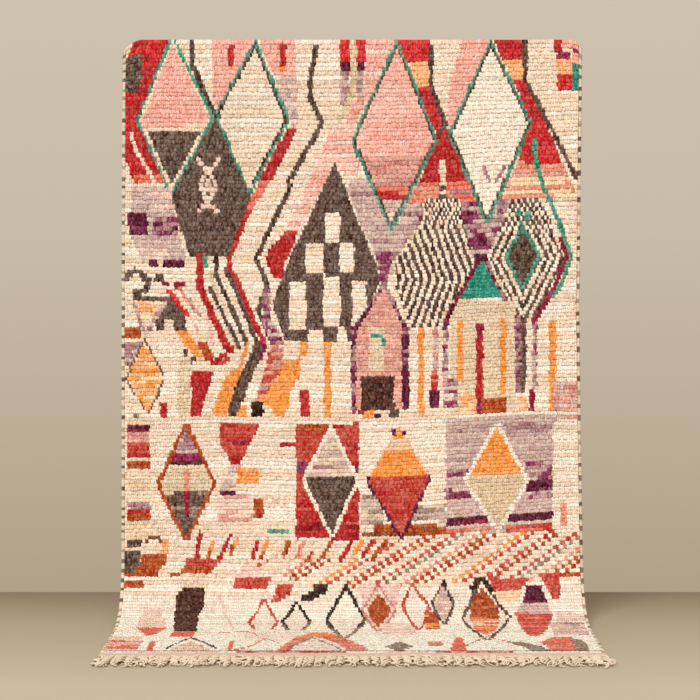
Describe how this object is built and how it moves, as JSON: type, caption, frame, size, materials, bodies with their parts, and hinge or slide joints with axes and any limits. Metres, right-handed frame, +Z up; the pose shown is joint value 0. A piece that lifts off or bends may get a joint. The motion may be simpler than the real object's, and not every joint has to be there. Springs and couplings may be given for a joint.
{
  "type": "boujad rug",
  "caption": "Hand-knotted wool rug hung by its top edge, its lower end swept forward on to the floor, with overcast sides, a flat-woven end and fringe.",
  "frame": {"origin": "middle of the top edge, on the back of the cloth", "axes": "+Z up the hanging cloth, -Y out of the pile side towards the viewer, +X to the viewer's right"},
  "size_m": [1.6307, 0.6992, 2.02],
  "materials": {
    "pile_wool": "hand-spun wool pile in many dyed colours on cream",
    "edge_wool": "wool yarn wrapped over the side cords, cream and dark brown by turns",
    "end_wool": "undyed beige wool, flat-woven, with loose warp ends"
  },
  "bodies": {
    "root": {"pile_cloth": "pile_wool", "overcast_edge_left": "edge_wool", "overcast_edge_right": "edge_wool", "fringed_end": "end_wool"}
  },
  "joints": []
}
